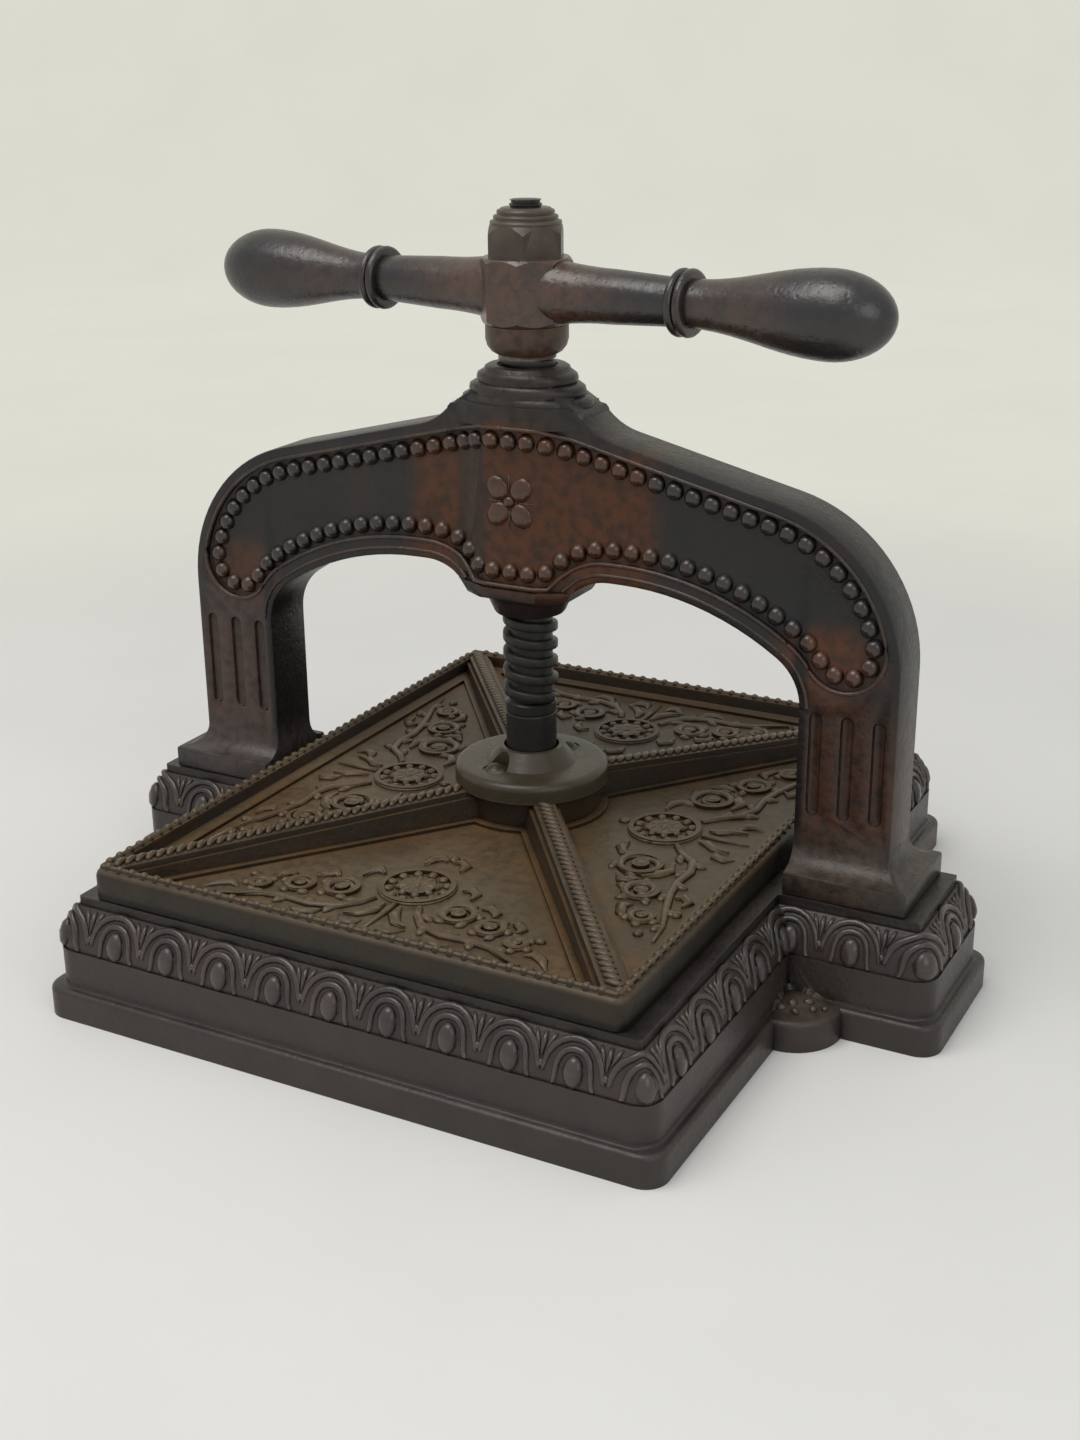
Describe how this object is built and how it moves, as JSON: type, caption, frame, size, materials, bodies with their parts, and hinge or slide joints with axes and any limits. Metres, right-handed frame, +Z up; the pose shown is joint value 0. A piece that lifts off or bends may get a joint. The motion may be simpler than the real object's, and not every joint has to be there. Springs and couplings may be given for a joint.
{
  "type": "book press",
  "caption": "Cast-iron screw press with a fluted arch over a moulded base, a two-armed handle and a ribbed platen that clamps books against the bed.",
  "frame": {"origin": "middle of the base's underside, on the surface that the press stands on", "axes": "+X along the arch from leg to leg, -Y the front, +Z up along the screw"},
  "size_m": [0.425, 0.36, 0.3386],
  "materials": {
    "base_iron": "worn dark japanned casting",
    "arch_iron": "worn black paint with rust in the middle",
    "platen_iron": "olive-brown worn casting",
    "handle_iron": "hand-polished dark brown",
    "screw_steel": "oiled dark steel",
    "fastener_steel": "dulled steel"
  },
  "bodies": {
    "frame": {"base": "base_iron", "arch_frame": "arch_iron", "left_outer_leg_bolt": "fastener_steel", "left_inner_leg_bolt": "fastener_steel", "right_inner_leg_bolt": "fastener_steel", "right_outer_leg_bolt": "fastener_steel", "left_outer_washer": "fastener_steel", "left_inner_washer": "fastener_steel", "right_inner_washer": "fastener_steel", "right_outer_washer": "fastener_steel"},
    "platen": {"platen": "platen_iron", "keeper_plate": "platen_iron", "front_keeper_screw": "fastener_steel", "rear_keeper_screw": "fastener_steel"},
    "screw": {"screw": "screw_steel", "handle": "handle_iron", "handle_nut": "screw_steel"}
  },
  "joints": [
    {"name": "platen_lift", "type": "slide", "parent": "frame", "child": "platen", "axis": [0, 0, 1], "range_m": [0, 0.06375]},
    {"name": "screw_turn", "type": "hinge", "parent": "platen", "child": "screw", "pos_m": [0, 0, 0.3], "axis": [0, 0, 1], "range_deg": [0, 2700]}
  ],
  "couplings": [
    {"joint": "platen_lift", "follows": "screw_turn", "m_per_rad": 0.0013528}
  ]
}
